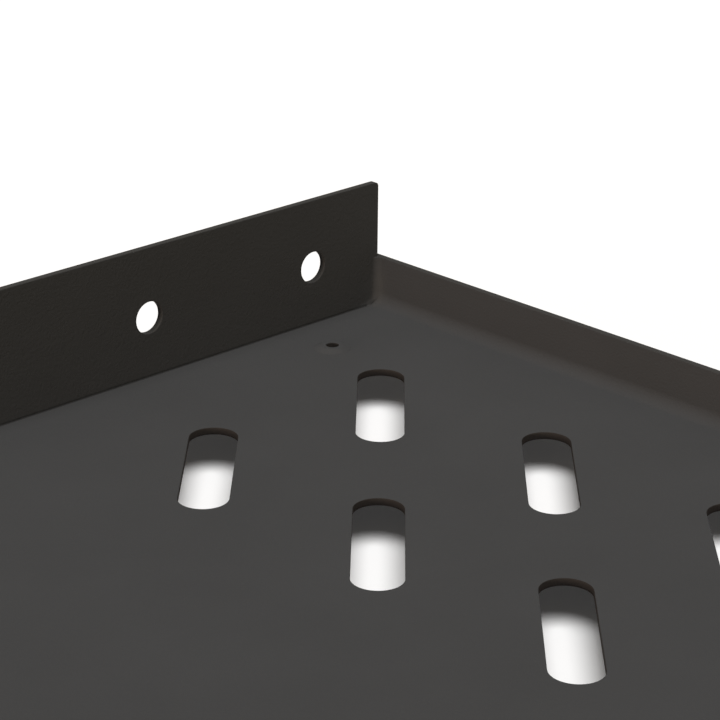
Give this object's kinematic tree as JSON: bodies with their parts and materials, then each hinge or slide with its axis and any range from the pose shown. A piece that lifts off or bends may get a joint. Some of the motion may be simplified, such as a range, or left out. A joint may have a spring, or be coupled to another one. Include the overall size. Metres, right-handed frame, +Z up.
{
  "type": "rack shelf",
  "caption": "Folded black sheet-steel rack shelf: a flat base cut by diagonal vent slots, low side walls, a rear lip, a front apron and slotted ears that bolt to a rack's front posts.",
  "frame": {"origin": "middle of the screw pattern on the rear faces of the two rack ears, where the shelf seats on the rack's front posts", "axes": "+X to the right seen from the front, +Y from the front to the rear of the rack, +Z up"},
  "size_m": [0.4826, 0.3416, 0.0436],
  "materials": {
    "powder_coat": "matte black powder coat with a fine texture"
  },
  "bodies": {
    "root": {"shelf": "powder_coat"}
  },
  "joints": []
}
